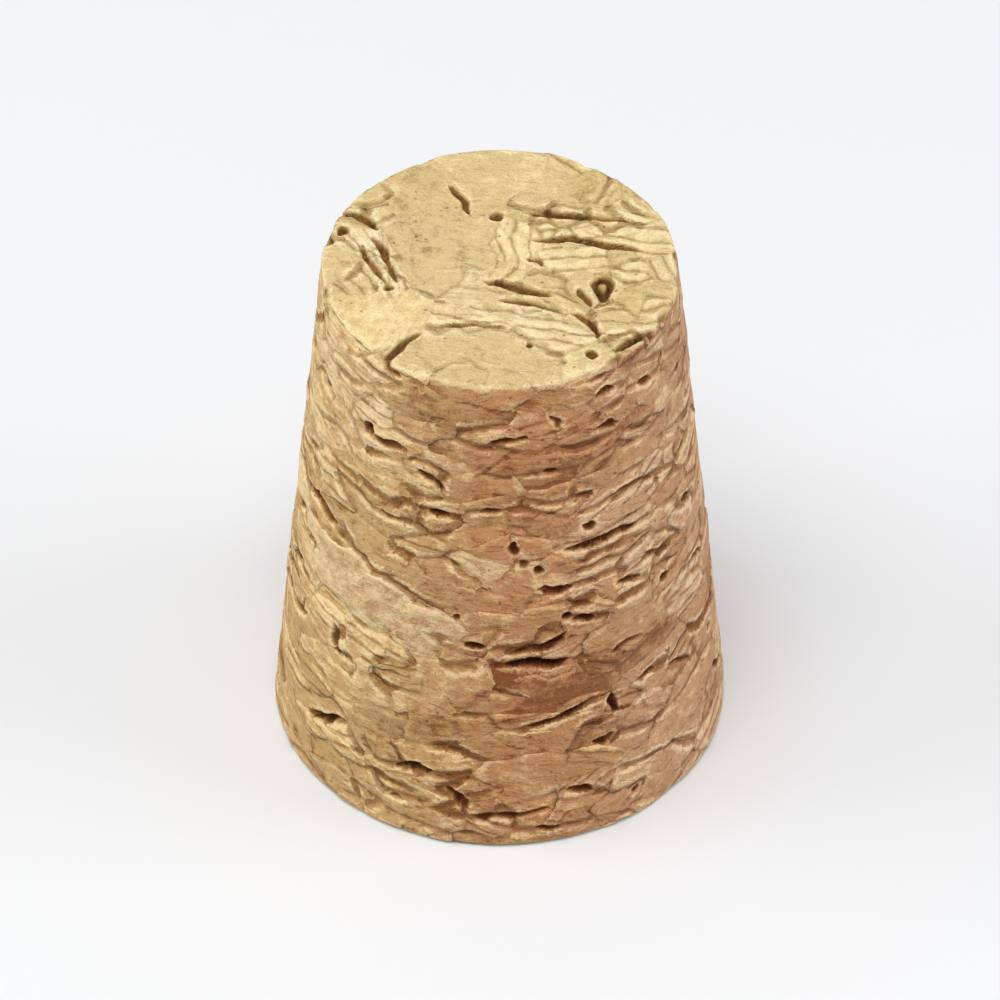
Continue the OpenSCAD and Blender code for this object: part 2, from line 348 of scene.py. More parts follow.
END_GRANULES = [
    (15, 81, 1.6, [(-3.4, 2.6), (-3.6, 0.4), (-1.0, 2.3), (-1.0, 0.7), (-2.2, 1.4), (-3.0, -0.9)]),
    (25, 81.7, 1.1, [(-0.9, -1.1), (-1.8, -2.4)]),
    (LINED + 23, 6.8, 0.6, [(0.7, 2.6), (0.8, 1.5), (0.7, 0.3)]),
    (26, 150, 2.1, [(-6.6, -3.2), (-4.4, -3.2), (-6.2, -4.9)]),
    (14, 77.3, 1.4, [(-3.6, -6.3), (-2.2, -5.6), (-0.6, -5.6), (1.0, -6.1), (2.4, -7.2)]),
    (LINED + 22, 78, 1.3, [(-2.8, -3.7), (-1.2, -3.6), (0.3, -3.5), (1.8, -4.2), (3.3, -5.4)]),
    (21, 97.2, 1.0, [(4.0, -7.0)]),
    (LINED + 25, 88, 1.2, [(2.8, 0.5), (4.7, 0.6), (6.6, -0.3)]),
    (LINED + 22, 92, 0.9, [(2.4, 2.8), (4.2, 2.8), (6.0, 2.5)]),
    (20, 80, 1.5, [(-1.1, 5.6), (0.4, 6.2), (2.6, 6.0), (1.4, 7.6)]),
    (0, 60, 0.6, [(5.1, -1.7)]),
    (12, 40, 1.8, [(-4.9, 4.6), (-4.1, 6.3), (-3.0, 4.9)]),
    (LINED + 21, 30, 0.7, [(-6.6, 1.8), (-5.9, 0.4)]),
    (LINED + 13, 100, 1.0, [(6.0, -3.5), (7.4, -3.3)]),
]

# Parts of the front that are darker or paler, as (turn, up, reach in mm, change of tone)
SIDE_SPOTS = [
    (25, 24.5, 3.0, -0.20), (10, 10.5, 3.5, -0.35), (-22, 4.5, 2.5, -0.22), (45, 20, 4.0, 0.15),
    (4, 15.5, 3.0, 0.12), (46, 8.0, 4.0, -0.12), (0, 5.5, 3.5, -0.10), (-12, 11.0, 2.5, -0.15),
    (-60, 14, 5.0, 0.22), (-64, 26, 5.0, 0.25), (-50, 7, 4.0, 0.12), (-8, 20, 2.5, -0.12),
]
END_SPOTS = [(-5.0, 5.0, 3.0, -0.15), (-0.5, -6.3, 2.5, -0.12), (-3.0, -2.5, 3.0, 0.10)]

# Open seams of the front too thin for the solid, as (turn, up, length, slope in degrees)
SIDE_SEAMS = [
    (-77, 12.0, 2.6, 22), (-70, 9.6, 2.2, 17), (-78, 19.5, 2.6, 18), (-55, 27.3, 2.6, 6),
    (-45, 21.5, 3.2, -3), (-41, 28.9, 2.0, 2), (-30, 4.6, 2.4, 4), (-15, 12.0, 3.0, 4),
    (-2, 22.3, 2.2, 0), (12, 1.2, 4.0, -2), (17, 22.4, 2.2, -3),
    (29, 16.9, 3.0, 0), (33, 21.4, 3.6, 3), (35, 11.8, 3.4, 0), (38, 6.0, 2.0, -12),
    (55, 8.1, 2.2, -20), (57, 28.3, 1.6, -18), (49, 25.0, 1.6, -4), (58, 21.0, 2.2, -25),
    (66, 17.5, 2.2, -22), (70, 13.0, 2.8, -20), (26, 25.4, 2.6, -14), (-20, 24.6, 2.4, -20),
    (-21, 4.6, 3.4, 0), (-13, 3.8, 2.0, -45), (-11.5, 2.2, 1.8, -80),
]
# The same on the narrow end, as (across, back, length, slope)
END_SEAMS = [
    (2.5, -5.5, 3.2, -18), (6.1, -3.8, 3.0, 6), (6.0, -5.0, 2.0, 12), (7.6, -0.2, 2.2, -69),
    (0.0, 1.6, 1.4, -80), (-0.3, 0.0, 1.6, 66), (-2.0, -1.3, 3.1, 45),
    (4.4, 2.8, 4.2, -3), (1.4, 4.2, 1.8, -12), (7.6, -2.3, 1.6, 5),
    (-7.2, 0.3, 2.8, -74), (5.2, 5.4, 1.9, 66), (6.2, 4.4, 1.8, -60), (-2.1, -5.5, 0.9, 66),
    (-6.4, 4.6, 1.4, 24), (3.4, 3.4, 2.0, -4), (-2.0, -4.7, 3.4, 6), (0.9, -5.0, 2.0, -24),
    (2.2, -6.0, 1.8, -50),
]

# Random granules, as (how many tries, least and most reach)
SCATTER = [(3000, 1.9, 2.6), (6000, 1.2, 1.7), (10000, 0.7, 1.0)]
JOINED_SHARE = 0.35    # this share joins a neighbour, which gives it an uneven outline
SHELL = 1.6            # granule points lie in a shell this deep, in seam space


def seam_space(places):
    """Where places lie in seam space."""
    seam = places * STRETCH
    for k, (cell, across, along) in enumerate(WARPS):
        seam += soft_vector(places, cell, 11 + 10 * k) * (across, across, along)
    return seam


def gap_floors():
    """The solid's open gaps, each as its floor's corners brought up to the plain surface."""
    bm = bmesh.new()
    bm.from_mesh(SOLID.data)
    bmesh.ops.scale(bm, vec=(1 / MM,) * 3, verts=bm.verts)
    bmesh.ops.remove_doubles(bm, verts=bm.verts, dist=1e-4)
    for elements in (bm.verts, bm.faces):
        elements.index_update()
        elements.ensure_lookup_table()
    middles = np.array([f.calc_center_median() for f in bm.faces])
    under, facing = surface_depth(middles)
    level = (np.array([f.normal for f in bm.faces]) * facing).sum(1)
    left = set(np.flatnonzero((under > FLOOR_UNDER) & (level > FLOOR_LEVEL)).tolist())
    floors = []
    while left:
        edge, corners = [min(left)], set()
        left.discard(edge[0])
        while edge:
            face = bm.faces[edge.pop()]
            corners.update(v.index for v in face.verts)
            beside = {f.index for e in face.edges for f in e.link_faces} & left
            left -= beside
            edge.extend(sorted(beside))
        corners = np.array([bm.verts[i].co for i in sorted(corners)])
        under, facing = surface_depth(corners)
        floors.append((corners + facing * under[:, None], facing.mean(0)))
    bm.free()
    return sorted(floors, key=lambda floor: tuple(floor[0].mean(0).round(3)))


def listed_seams():
    """The middle, direction and length of each listed seam, and which way the surface faces."""
    for seams, where in ((SIDE_SEAMS, side_place), (END_SEAMS, end_place)):
        for first, second, length, slope in seams:
            middle = where(first, second)
            facing = surface_depth(middle[None])[1][0]
            level = np.cross((0, 0, 1), facing) if where is side_place else np.array([1, 0, 0])
            level = level / np.linalg.norm(level)
            rise = math.radians(slope)
            along = level * math.cos(rise) + np.cross(facing, level) * math.sin(rise)
            yield middle, along, length, facing


def beside_curve(curve, start, stop, facing):
    """The granule points along one side of a curve of the surface, and along the other."""
    count = max(1, round((stop - start) / PAIR_STEP))
    up = facing / STRETCH
    up = up / np.linalg.norm(up)
    sides = [], []
    for share in (np.arange(count) + 0.5) / count:
        at = start + share * (stop - start)
        here, ahead = (seam_space(curve(t)[None])[0] for t in (at, at + 0.05))
        forward = (ahead - here) / np.linalg.norm(ahead - here)
        aside = np.cross(up, forward) * PAIR_REACH
        for side, sign in zip(sides, (-1, 1)):
            side.append(here - up * POINT_UNDER + aside * sign)
    return sides


def grain_along(along, facing):
    """The grain's turn, in half turns, that runs with a gap of an end; None on the side."""
    if abs(facing[2]) < 0.9:
        return None
    return (math.atan2(along[1], along[0]) / math.pi + 0.5) % 1


# A gap runs whichever of its two ways is nearer to this one, so that it is always the same.
GAPS_RUN = (1.0, 0.7, 0.4)


def gap_pairs():
    """The granule points beside each of the solid's gaps, and the grain that runs with it."""
    for corners, facing in gap_floors():
        middle = corners.mean(0)
        along = np.linalg.svd(corners - middle)[2][0]
        along = along * math.copysign(1.0, along @ GAPS_RUN)
        facing = facing / np.linalg.norm(facing)
        beside = np.cross(facing, along)
        run, off = (corners - middle) @ along, (corners - middle) @ beside
        if np.ptp(run) < LONG_GAP * np.ptp(off):
            continue
        bow = np.polyfit(run, off, 2)
        sides = beside_curve(
            lambda t: middle + along * t + beside * np.polyval(bow, t),
            run.min(), run.max(), facing)
        yield sides, grain_along(along, facing)


def fine_seam_pairs():
    """The same for each of the listed open seams."""
    for middle, along, length, facing in listed_seams():
        sides = beside_curve(lambda t: middle + along * t, -length / 2, length / 2, facing)
        yield sides, grain_along(along, facing)


def plug_places(rng, count):
    """Random places on the plug's surface, spread by area in seam space, and the way inwards."""
    side_area = math.pi * (WIDE_R + NARROW_R) * HEIGHT * STRETCH[2]
    areas = np.array([side_area, math.pi * NARROW_R ** 2, math.pi * WIDE_R ** 2])
    which = rng.choice(3, size=count, p=areas / areas.sum())
    a = rng.uniform(0, math.tau, count)
    up = rng.uniform(0, HEIGHT, count)
    flat_r = np.where(which == 1, NARROW_R, WIDE_R) * np.sqrt(rng.uniform(0, 1, count))
    r = np.where(which == 0, WIDE_R + SLOPE * up, flat_r)
    z = np.choose(which, [up, HEIGHT, 0.0])
    places = np.stack([r * np.cos(a), r * np.sin(a), z], 1)
    inwards = np.zeros((count, 3))
    inwards[:, :2] = -places[:, :2] / np.maximum(r, 1e-6)[:, None] * (which == 0)[:, None]
    inwards[:, 2] = np.choose(which, [0, -1, 1])
    return places, inwards


class Granules:
    """Every granule point: where it lies in seam space, how far it keeps others off, its code.

    A code's whole part is the granule's tone, with LINED added if it has plain growth lines,
    and its fraction is the turn of its grain in half turns. Points with one code are one
    granule."""

    MOST = 8000

    def __init__(self):
        self.rng = np.random.default_rng(7)
        self.count = 0
        self.points, self.reaches = np.empty((self.MOST, 3)), np.empty(self.MOST)
        self.codes = np.empty(self.MOST)
        self.spots = [
            (where(first, second), reach, change)
            for spots, where in ((SIDE_SPOTS, side_place), (END_SPOTS, end_place))
            for first, second, reach, change in spots
        ]
        self.place(SIDE_GRANULES, side_place)
        self.place(END_GRANULES, end_place)
        for pairs, how_open in ((fine_seam_pairs(), SEAM_PAIR_OPEN), (gap_pairs(), GAP_PAIR_OPEN)):
            for (one, other), turn in pairs:
                beside = self.away_from(one[0])
                joins = turn is None and beside.min() < PAIR_JOINS
                code = self.codes[beside.argmin()] if joins else self.random_code(one[0], turn)
                self.add_all(one, PAIR_REACH, PAIR_REACH * 0.5, code)
                code = self.partner(code, one[0], turn, how_open)
                self.add_all(other, PAIR_REACH, PAIR_REACH * 0.5, code)
        for tries, least, most in SCATTER:
            self.scatter(tries, least, most)
        self.points, self.codes = self.points[:self.count], self.codes[:self.count]
        self.tree = KDTree(self.count)
        for i, point in enumerate(self.points):
            self.tree.insert(point, i)
        self.tree.balance()

    def random_code(self, point, turn=None):
        """A code with a random tone, darker or paler if the point is in a spot, and with the
        given turn of the grain or a random one."""
        odd = self.rng.uniform() < ODD_SHARE
        tone = self.rng.normal(0.5, 0.24 if odd else 0.10)
        for middle, reach, change in self.spots:
            tone += change * math.exp(-(np.linalg.norm(point / STRETCH - middle) / reach) ** 2)
        lined = LINED * (self.rng.uniform() < LINED_SHARE)
        turn = self.rng.uniform(0, 1) if turn is None else turn
        return int(np.clip(tone, 0, 0.99) * TONES) + lined + np.clip(turn, 0.01, 0.99)

    def partner(self, code, point, turn, how_open):
        """A code that gives the seam between its granule and the given code's this openness."""
        mixed = (self.random_code(point, turn) + code) * PAIR_MIX
        return (round(mixed - how_open) + how_open) / PAIR_MIX - code

    def away_from(self, point):
        """How far each granule point so far is from a place."""
        return np.linalg.norm(self.points[:self.count] - point, axis=1)

    def add_all(self, points, reach, clear, code):
        """Adds those of some points of one granule that have room."""
        for point in points:
            if (self.away_from(point) > self.reaches[:self.count] * 0.5 + clear).all():
                self.add(point, reach, code)

    def add(self, point, reach, code):
        """Adds one granule point."""
        i = self.count
        self.points[i], self.reaches[i], self.codes[i] = point, reach, code
        self.count += 1

    def place(self, granules, where):
        """Adds the points of the listed granules of the side or of the narrow end."""
        for tone, turn, reach, places in granules:
            for place in places:
                on = where(*place)[None]
                facing = surface_depth(on)[1][0]
                point = seam_space(on)[0] - facing * POINT_UNDER
                self.add(point, reach, tone + np.clip(turn / 180, 0.01, 0.99))

    def scatter(self, tries, least, most):
        """Adds random points, of reaches from least to most, wherever they have room."""
        places, inwards = plug_places(self.rng, tries)
        depths = self.rng.uniform(0, SHELL, tries)
        points = seam_space(places) + inwards * depths[:, None]
        reaches = self.rng.uniform(least, most, tries)
        joins = self.rng.uniform(0, 1, tries) < JOINED_SHARE
        for point, reach, join in zip(points, reaches, joins):
            away = self.away_from(point)
            if (away > self.reaches[:self.count] + reach).all():
                joined = join and self.codes[away.argmin()]
                self.add(point, reach, joined or self.random_code(point))

    def nearest(self, places):
        """The NEAREST granule points of each place in seam space, nearest first."""
        found = np.empty((len(places), NEAREST), int)
        for row, place in enumerate(places):
            found[row] = [i for _, i, _ in self.tree.find_n(place, NEAREST)]
        return found

    def seam_distance(self, places, near):
        """How far each place is from the nearest seam, and the granule point across it."""
        offset = places[:, None] - self.points[near]
        square = (offset ** 2).sum(-1)
        apart = (self.points[near[:, 1:]] - self.points[near[:, :1]]) * STRETCH
        away = (square[:, 1:] - square[:, :1]) / (2 * np.linalg.norm(apart, axis=-1))
        away[self.codes[near[:, 1:]] == self.codes[near[:, :1]]] = FAR
        across = near[np.arange(len(near)), 1 + away.argmin(1)]
        return away.min(1), across


# ------------------------ relief

OPEN_CELL = 2.2        # how far seams stay open or closed before they change
SEAM_HALF, SEAM_DEEP = 0.30, 0.18    # how wide a seam is to either side, and how deep
STEP_DEEP, STEP_SLOPE = 0.10, 0.04   # granules lie up to this far under, and this aslant
STEP_EASE = 0.3        # a step from one granule to the next is eased this far from the seam
LEAST_UNDER = 0.02     # the skin stays this far under the plain surface everywhere
END_SHARE = 0.45       # of the relief that the flat-cut ends keep
WAVE_CELL, WAVE_DEEP = 1.3, 0.05     # the soft waves of the whole surface
LISTED_ON_SIDE, LISTED_ON_END = 0.8, 0.7   # how open the listed seams are
LISTED_FULL, LISTED_NONE = 0.5, 1.2  # this far off they are still fully so, and no longer so
LEVEL_SEAM = 0.3, 0.85  # how level a seam of the side is that just opens, and that opens fully


def openness(places):
    """From 0, where seams are pressed shut, to 1, where they are open."""
    value = soft_noise(places, OPEN_CELL, 31) + 0.5 * soft_noise(places, OPEN_CELL / 3, 41)
    return np.clip(0.5 + 0.9 * value, 0, 1)


def listed_openness(places):
    """How open the listed seams are, down to 0 a little way off them."""
    most = np.zeros(len(places))
    for middle, along, length, facing in listed_seams():
        run = np.clip((places - middle) @ along, -length / 2, length / 2)
        away = np.linalg.norm(places - middle - run[:, None] * along, axis=1)
        share = LISTED_ON_END if facing[2] > 0.9 else LISTED_ON_SIDE
        most = np.maximum(most, share * (1 - smooth(away, LISTED_FULL, LISTED_NONE)))
    return most


def part(values):
    """What is left of values past the whole number below."""
    return values - np.floor(values)


def smooth(values, low, high):
    """From 0 to 1 as values go from low to high, eased at both."""
    share = np.clip((values - low) / (high - low), 0, 1)
    return share * share * (3 - 2 * share)


def pair_openness(own, other):
    """From 0 to 1, how open the seam between the granules of two codes is."""
    mixed = part((own + other) * PAIR_MIX)
    return np.clip((mixed - PAIR_SHUT) / (PAIR_OPEN - PAIR_SHUT), 0, 1)


def granule_level(granules, which, seam):
    """How far under the ground surface a granule lies at places of seam space."""
    codes = granules.codes[which]
    lean = part(codes * LEAN_MIX) * math.tau
    way = np.stack([np.cos(lean), np.sin(lean), np.sin(2 * lean)], 1)
    aslant = (((seam - granules.points[which]) / STRETCH) * way).sum(1)
    return part(codes * LEVEL_MIX) * STEP_DEEP + aslant * STEP_SLOPE


def relief(granules, places, seam, open_share, listed):
    """How far each place lies under the plain surface, apart from the solid's gaps."""
    near = granules.nearest(seam)
    away, across = granules.seam_distance(seam, near)
    own, other = (granule_level(granules, which, seam) for which in (near[:, 0], across))
    ease = np.clip(away / STEP_EASE, 0, 1)
    step = own + (other - own) * 0.5 * (1 - ease) ** 2
    on_end = np.abs(places[:, 2] - HEIGHT / 2) > HEIGHT / 2 - 1e-3
    apart = (granules.points[across] - granules.points[near[:, 0]]) * STRETCH
    level = np.abs(apart[:, 2]) / np.linalg.norm(apart, axis=1)
    wide = np.maximum(listed, open_share * np.where(on_end, 1, smooth(level, *LEVEL_SEAM)))
    wide *= pair_openness(granules.codes[near[:, 0]], granules.codes[across])
    groove = np.clip(1 - away / SEAM_HALF, 0, 1) ** 1.5 * wide
    wave = WAVE_DEEP * (0.5 + 0.5 * soft_noise(places, WAVE_CELL, 51))
    share = np.where(on_end, END_SHARE, 1.0)
    return np.clip(share * (step + wave + LEAST_UNDER) + SEAM_DEEP * groove, 0, None)


# ------------------------ the finished skin

def scene_object(name, data):
    """An object of the scene that holds some data."""
    made = bpy.data.objects.new(name, data)
    bpy.context.scene.collection.objects.link(made)
    return made


def mesh_object(name, bm):
    """An object of the scene with the mesh built in bm, which is freed."""
    mesh = bpy.data.meshes.new(name)
    bm.to_mesh(mesh)
    bm.free()
    return scene_object(name, mesh)


def store(mesh, name, kind, domain, values):
    """Adds values to the mesh as an attribute."""
    field = {"FLOAT": "value", "FLOAT_VECTOR": "vector", "FLOAT_COLOR": "color"}[kind]
    made = mesh.attributes.new(name, kind, domain)
    made.data.foreach_set(field, np.asarray(values, np.float32).ravel())


def cork_skin():
    """The stopper's visible surface, as an object with what its finish reads."""
    bm = plain_skin()
    refine_near_gaps(bm)
    depth, gap_share = gap_depths(bm)
    granules = Granules()

    places = np.array([v.co for v in bm.verts])
    facing = np.array([v.normal for v in bm.verts])
    seam = seam_space(places)
    open_share, listed = openness(places), listed_openness(places)
    sunk = np.maximum(depth, relief(granules, places, seam, open_share, listed))
    bm.faces.ensure_lookup_table()
    corners = np.array([[v.index for v in f.verts] for f in bm.faces])
    for v, place in zip(bm.verts, (places - facing * sunk[:, None]) * MM):
        v.co = place

    piece = mesh_object("cork_stopper", bm)
    mesh = piece.data
    mesh.shade_smooth()
    store(mesh, "seam_place", "FLOAT_VECTOR", "POINT", seam)
    for name, values in (("plain_height", places[:, 2]), ("gap_depth", depth),
                         ("near_gap_share", gap_share), ("open_share", open_share),
                         ("listed_open", listed)):
        store(mesh, name, "FLOAT", "POINT", values)
    near = granules.nearest(seam[corners].mean(1))
    for k in range(NEAREST):
        values = np.column_stack([granules.points[near[:, k]], granules.codes[near[:, k]]])
        store(mesh, f"granule_{k}", "FLOAT_COLOR", "FACE", values)
    return piece


# ------------------------ finishes

def srgb(red, green, blue):
    """A colour given as it looks on a screen, from 0 to 255, in the shader's own terms."""
    parts = [c / 255 for c in (red, green, blue)]
    return (*[c / 12.92 if c < 0.04045 else ((c + 0.055) / 1.055) ** 2.4 for c in parts], 1.0)


class Graph:
    """Short words for a material's nodes. Most make one node and return its output."""

    def __init__(self, material):
        material.use_nodes = True
        self.tree = material.node_tree
        self.tree.nodes.clear()

    def node(self, kind, inputs=(), **settings):
        """A node with some of its inputs put in and its settings set."""
        made = self.tree.nodes.new("ShaderNode" + kind)
        for name, value in settings.items():
            setattr(made, name, value)
        for key, value in dict(inputs).items():
            self.put(made.inputs[key], value)
        return made

    def put(self, socket, value):
        """Puts a number, a colour or another node's output into an input."""
        if isinstance(value, bpy.types.NodeSocket):
            self.tree.links.new(value, socket)
        else:
            socket.default_value = value

    def maths(self, operation, *values, clamp=False):
        inputs = dict(enumerate(values))
        return self.node("Math", inputs, operation=operation, use_clamp=clamp).outputs[0]

    def times(self, a, b, clamp=False):
        return self.maths("MULTIPLY", a, b, clamp=clamp)

    def times_add(self, a, b, c):
        return self.maths("MULTIPLY_ADD", a, b, c)

    def minus(self, a, b):
        return self.maths("SUBTRACT", a, b)

    def fraction(self, a):
        return self.maths("FRACT", a)

    def vector(self, operation, *values):
        made = self.node("VectorMath", dict(enumerate(values)), operation=operation)
        return made.outputs["Value" if operation in ("DOT_PRODUCT", "LENGTH") else "Vector"]

    def scaled(self, vector, factor):
        """A vector times a number."""
        made = self.node("VectorMath", {0: vector, "Scale": factor}, operation="SCALE")
        return made.outputs["Vector"]

    def mix(self, factor, a, b):
        """From a to b as the factor goes from 0 to 1."""
        return self.node("Mix", {0: factor, 2: a, 3: b}).outputs[0]

    def mix_vector(self, factor, a, b):
        return self.node("Mix", {0: factor, 4: a, 5: b}, data_type="VECTOR").outputs[1]

    def mix_colour(self, factor, a, b, blend="MIX"):
        made = self.node("Mix", {0: factor, 6: a, 7: b}, data_type="RGBA", blend_type=blend)
        return made.outputs[2]

    def ramp(self, value, low, high, to_low=0.0, to_high=1.0):
        """Eased from to_low to to_high as a value goes from low to high."""
        inputs = dict(enumerate((value, low, high, to_low, to_high)))
        return self.node("MapRange", inputs, interpolation_type="SMOOTHSTEP").outputs[0]

    def joined(self, x, y, z):
        return self.node("CombineXYZ", {0: x, 1: y, 2: z}).outputs[0]

    def split(self, vector):
        return self.node("SeparateXYZ", {0: vector}).outputs

    def attribute(self, name):
        return self.node("Attribute", attribute_name=name)

    def number(self, name):
        """What an attribute of one number holds."""
        return self.attribute(name).outputs["Fac"]

    def finish(self, shader, inputs):
        """Ends the material with a shader."""
        surface = self.node(shader, inputs)
        self.node("OutputMaterial", {"Surface": surface.outputs[0]})

    def noise(self, place, scale, detail=2.0, rough=0.5, distortion=0.0):
        inputs = {"Vector": place, "Scale": scale, "Detail": detail,
                  "Roughness": rough, "Distortion": distortion}
        return self.node("TexNoise", inputs).outputs[0]


def granule_here(g, here):
    """The granule that a point of seam space is in, the one across the nearest seam, and how
    far that seam is."""
    near = []
    for k in range(NEAREST):
        granule = g.attribute(f"granule_{k}").outputs
        off = g.vector("SUBTRACT", here, granule["Vector"])
        near.append((granule["Vector"], granule["Alpha"], g.vector("DOT_PRODUCT", off, off)))
    own, own_code, own_square = near[0]
    for seed, code, square in near[1:]:
        nearer = g.maths("LESS_THAN", square, own_square)
        own = g.mix_vector(nearer, own, seed)
        own_code = g.mix(nearer, own_code, code)
        own_square = g.maths("MINIMUM", square, own_square)
    away, other, other_code = FAR, own, own_code
    for seed, code, square in near:
        apart = g.vector("MULTIPLY", g.vector("SUBTRACT", seed, own), tuple(STRETCH))
        span = g.maths("MAXIMUM", g.times(g.vector("LENGTH", apart), 2.0), 1e-4)
        distance = g.maths("DIVIDE", g.minus(square, own_square), span)
        same = g.maths("COMPARE", code, own_code, 1e-4)
        distance = g.times_add(same, FAR, distance)
        nearer = g.maths("LESS_THAN", distance, away)
        other = g.mix_vector(nearer, other, seed)
        other_code = g.mix(nearer, other_code, code)
        away = g.maths("MINIMUM", distance, away)
    return own, own_code, other, other_code, away


BUMP_STEP, BUMP_SLOPE = 0.16, 0.12   # the finish's own steps and slants of granules
GROWTH_APART = 0.85    # mm from one growth line to the next
END_FROM = 0.35        # the cut ends' paler colour starts this far from the rim's corner
END_PALE = 0.05        # and is full this far from it
CUT_END = 0.12         # the ends' way of grain starts this far from it
YELLOWNESS = 0.12      # how far granules' blue goes up and down

# Each kind of surface's colours, for its darkest, middle and palest granules
SIDE_TONES = srgb(146, 87, 46), srgb(203, 146, 98), srgb(246, 204, 154)
# The flanks' colours are painted side light: the left flank is painted paler and yellower, the
# right one paler and pinker.
LEFT_LIT_TONES = srgb(160, 118, 63), srgb(212, 174, 116), srgb(250, 221, 165)
RIGHT_LIT_TONES = srgb(160, 108, 70), srgb(205, 157, 116), srgb(245, 210, 170)
END_TONES = srgb(167, 134, 81), srgb(218, 192, 136), srgb(245, 224, 173)
LEFT_LIGHT_FADE, RIGHT_LIGHT_FADE = (-3.0, -11.3), (-2.5, 4.0)   # where along X the flanks' colours come in
FLANK_LIGHT_SHARE = 0.9
# The gaps' tint paints shade into them, more of it where they are deeper.
LINE_TINT, GAP_SHADE_TINT = (0.50, 0.37, 0.24, 1), (0.50, 0.36, 0.22, 1)


def slanted_level(g, here, seed, code):
    """A granule's own height and slant, as in the skin's relief, in mm."""
    lean = g.times(g.fraction(g.times(code, LEAN_MIX)), math.tau)
    way = g.joined(
        g.maths("COSINE", lean), g.maths("SINE", lean), g.maths("SINE", g.times(lean, 2.0)))
    off = g.vector("MULTIPLY", g.vector("SUBTRACT", here, seed), tuple(1 / STRETCH))
    aslant = g.vector("DOT_PRODUCT", off, way)
    level = g.times(g.fraction(g.times(code, LEVEL_MIX)), -BUMP_STEP)
    return g.times_add(aslant, -BUMP_SLOPE, level)


def three_tones(g, value, dark, middle, pale):
    """The colour of a value from 0, dark, to 1, pale."""
    lower = g.mix_colour(g.ramp(value, 0.0, 0.5), dark, middle)
    return g.mix_colour(g.ramp(value, 0.5, 1.0), lower, pale)


def grain_here(g, place, turn, on_end):
    """The way across a granule's grain, and how far along that way a place lies. The grain
    is level on the side, and runs any way on the ends."""
    lean = g.maths("SINE", g.times(turn, 2.0))
    side_grain = g.joined(g.times(lean, 0.45), g.times(lean, 0.35), 1.0)
    end_grain = g.joined(g.maths("COSINE", turn), g.maths("SINE", turn), 0.0)
    grain = g.mix_vector(on_end, side_grain, end_grain)
    return grain, g.vector("DOT_PRODUCT", place, grain)


def growth_lines(g, across, code, streaks, mottle, patch):
    """From -1 to 1 over each growth of the cork, highest along its thin dark line."""
    phase = g.times_add(across, math.tau / GROWTH_APART, g.times(code, 9.0))
    phase = g.times_add(mottle, 2.5, g.times_add(patch, 12.0, phase))
    return g.times_add(streaks, -0.5, g.maths("SINE", phase))


def pores(g, place):
    """Small dark pits, more of them in some parts than in others."""
    spots = g.node("TexVoronoi", {"Vector": place, "Scale": 1.9}).outputs
    reach = g.ramp(g.split(spots["Color"])[0], 0.45, 1.0, 0.0, 0.2)
    return g.ramp(g.minus(spots["Distance"], reach), 0.0, -0.06)


def seam_parts(g, granule, on_end, fine, mottle):
    """How open the nearest seam is, how dark it is, and the painted highlight along its lip. Seams
    are faint and thin where pressed shut, and wide and dark where open, with a lip painted pale as
    a painted highlight that is partly pale frayed cork."""
    own, code, other, other_code, away = granule
    pair = g.fraction(g.times(g.maths("ADD", code, other_code), PAIR_MIX))
    pair = g.node("MapRange", {0: pair, 1: PAIR_SHUT, 2: PAIR_OPEN}).outputs[0]
    apart = g.vector("MULTIPLY", g.vector("SUBTRACT", other, own), tuple(STRETCH))
    level = g.maths("ABSOLUTE", g.split(g.vector("NORMALIZE", apart))[2])
    level = g.maths("MAXIMUM", on_end, g.ramp(level, *LEVEL_SEAM))
    open_share = g.times(g.number("open_share"), g.times_add(on_end, -0.25, level))
    open_share = g.maths("MAXIMUM", open_share, g.number("listed_open"))
    open_share = g.times(open_share, pair)
    half = g.times(open_share, g.ramp(fine, 0.25, 0.75, 0.09, 0.29))
    beyond = g.minus(away, half)
    shut = g.ramp(mottle, 0.45, 0.62, 0.0, 0.18)
    dark = g.times(g.ramp(beyond, 0.17, -0.08), g.maths("ADD", open_share, shut), clamp=True)
    # The lip beside an open seam is painted pale: a painted highlight, partly frayed cork.
    seam_lip_highlight = g.times(g.ramp(beyond, 0.08, 0.18), g.ramp(beyond, 0.55, 0.22))
    return open_share, dark, g.times(seam_lip_highlight, open_share)


def lit_and_shaded_edges(g, above, away, streaks, on_end):
    """Where one granule stands above the next, its edge is painted pale, a painted highlight on the
    raised edge that is partly pale frayed cork, and the next one's edge is painted dark, a painted
    shade below the step."""
    edge = g.ramp(g.times_add(streaks, 0.7, away), 0.85, 0.25)
    edge = g.times(edge, g.times_add(on_end, -0.5, 1.0))
    return (g.times(edge, g.ramp(above, 0.0, 0.12)),
            g.times(edge, g.ramp(above, -0.01, -0.13)))


def cork_colour(g, place, value, code, on_end, mottle, cells):
    """The cork's colour before its lines and gaps. The side's left flank is painted paler and
    yellower, and its right one paler and pinker, as painted side light falling on the flanks. The
    ends are paler."""
    x = g.times_add(mottle, -8.0, g.split(place)[0])
    colour = three_tones(g, value, *SIDE_TONES)
    # Painted side light: the flanks take their paler tones along X.
    for share, tones in ((g.ramp(x, *LEFT_LIGHT_FADE, 0.0, FLANK_LIGHT_SHARE), LEFT_LIT_TONES),
                         (g.ramp(x, *RIGHT_LIGHT_FADE, 0.0, FLANK_LIGHT_SHARE), RIGHT_LIT_TONES),
                         (on_end, END_TONES)):
        colour = g.mix_colour(share, colour, three_tones(g, value, *tones))
    shade = g.times_add(g.minus(cells, 0.5), 0.28, 1.0)
    colour = g.scaled(colour, shade)
    # Some granules are yellower than others, and some parts of one than the rest.
    yellow = g.times_add(mottle, 1.2, g.fraction(g.times(code, 5.7)))
    blue = g.times_add(yellow, -YELLOWNESS, 1.0 + 1.1 * YELLOWNESS)
    return g.vector("MULTIPLY", colour, g.joined(1.0, 1.0, blue))


